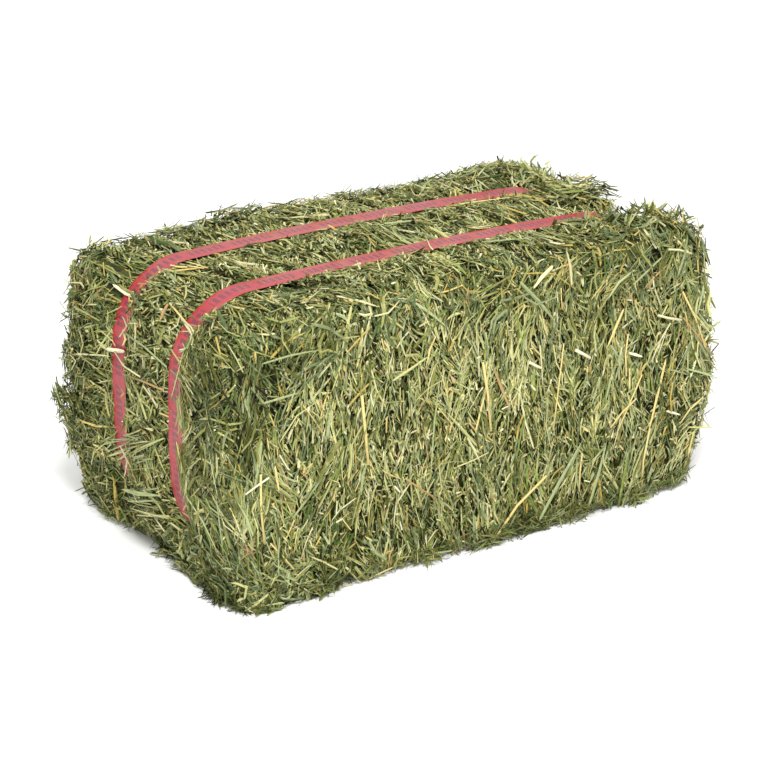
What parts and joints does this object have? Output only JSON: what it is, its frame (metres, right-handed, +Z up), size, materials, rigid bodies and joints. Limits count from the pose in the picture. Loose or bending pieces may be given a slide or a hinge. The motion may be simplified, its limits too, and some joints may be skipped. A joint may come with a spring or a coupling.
{
  "type": "square hay bale",
  "caption": "Rectangular bale of pressed green hay, bound lengthwise by flat plastic straps, with loose tufts of stems on its sides.",
  "frame": {"origin": "middle of the underside, on the surface that the bale lies on", "axes": "+X along the bale, through the flakes and along the straps; +Y across it, away from the long side seen first; +Z up"},
  "size_m": [0.7009, 0.4265, 0.347],
  "materials": {
    "hay": "dry pressed grass and alfalfa stems, matte, green to straw yellow",
    "strap": "crimson polypropylene strapping, satin with a fine woven emboss"
  },
  "bodies": {
    "root": {"flake_01": "hay", "flake_02": "hay", "flake_03": "hay", "flake_04": "hay", "flake_05": "hay", "flake_06": "hay", "flake_07": "hay", "flake_08": "hay", "flake_09": "hay", "flake_10": "hay", "strap_front": "strap", "strap_back": "strap"}
  },
  "joints": []
}
